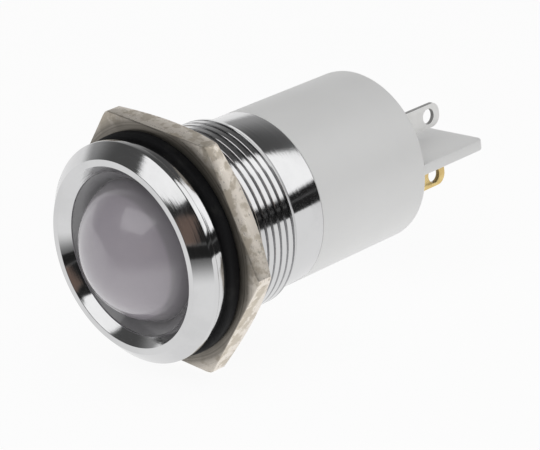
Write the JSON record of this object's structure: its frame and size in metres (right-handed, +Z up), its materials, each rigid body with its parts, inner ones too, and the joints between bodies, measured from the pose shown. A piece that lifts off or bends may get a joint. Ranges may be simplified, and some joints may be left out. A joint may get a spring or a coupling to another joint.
{
  "type": "panel pilot light",
  "caption": "Round panel pilot light: domed lens in a chromed threaded bezel, gasket, hexagonal panel nut and a moulded rear housing with solder tabs.",
  "frame": {"origin": "on the axis, in the rear face of the gasket, where the front face of the panel sits", "axes": "+Y along the axis from the lens to the solder tabs, +Z up and square to the barrier fin, +X to the side that the tabs stand on"},
  "size_m": [0.0308, 0.0519, 0.0286],
  "materials": {
    "chrome_bezel": "polished bright chrome plate on turned brass",
    "diffused_lens": "lilac-grey diffusing moulded lens, glossy",
    "seal_rubber": "grey silicone rubber",
    "gasket_rubber": "black moulded rubber, dull",
    "white_housing": "white moulded plastic, fine satin",
    "tinned_tab": "bright tin plate on brass strip",
    "gold_tab": "gold flash on brass strip",
    "white_board": "white solder mask on glass-epoxy board",
    "led_package": "white reflector cup filled with yellow phosphor resin",
    "green_board": "green solder mask on glass-epoxy board",
    "diode_body": "black moulded diode with tinned leads",
    "resistor_body": "lacquered resistor body",
    "pin_metal": "gold-plated square pin stock",
    "potting": "black casting resin",
    "nickel_nut": "dull nickel plate on turned brass, stained"
  },
  "bodies": {
    "light": {"bezel_barrel": "chrome_bezel", "dome_lens": "diffused_lens", "lens_seal_ring": "seal_rubber", "sealing_gasket": "gasket_rubber", "rear_housing": "white_housing", "terminal_tinned": "tinned_tab", "terminal_gold": "gold_tab", "led_board": "white_board", "led_1": "led_package", "led_2": "led_package", "led_3": "led_package", "led_4": "led_package", "led_5": "led_package", "led_6": "led_package", "driver_board": "green_board", "rectifier_diode_1": "diode_body", "rectifier_diode_2": "diode_body", "rectifier_diode_3": "diode_body", "rectifier_diode_4": "diode_body", "ballast_resistor_1": "resistor_body", "ballast_resistor_2": "resistor_body", "link_pin_1": "pin_metal", "link_pin_2": "pin_metal", "potting_resin": "potting"},
    "nut": {"panel_nut": "nickel_nut"}
  },
  "joints": [
    {"name": "nut_travel", "type": "slide", "parent": "light", "child": "nut", "axis": [0, 1, 0], "range_m": [0, 0.045]}
  ]
}
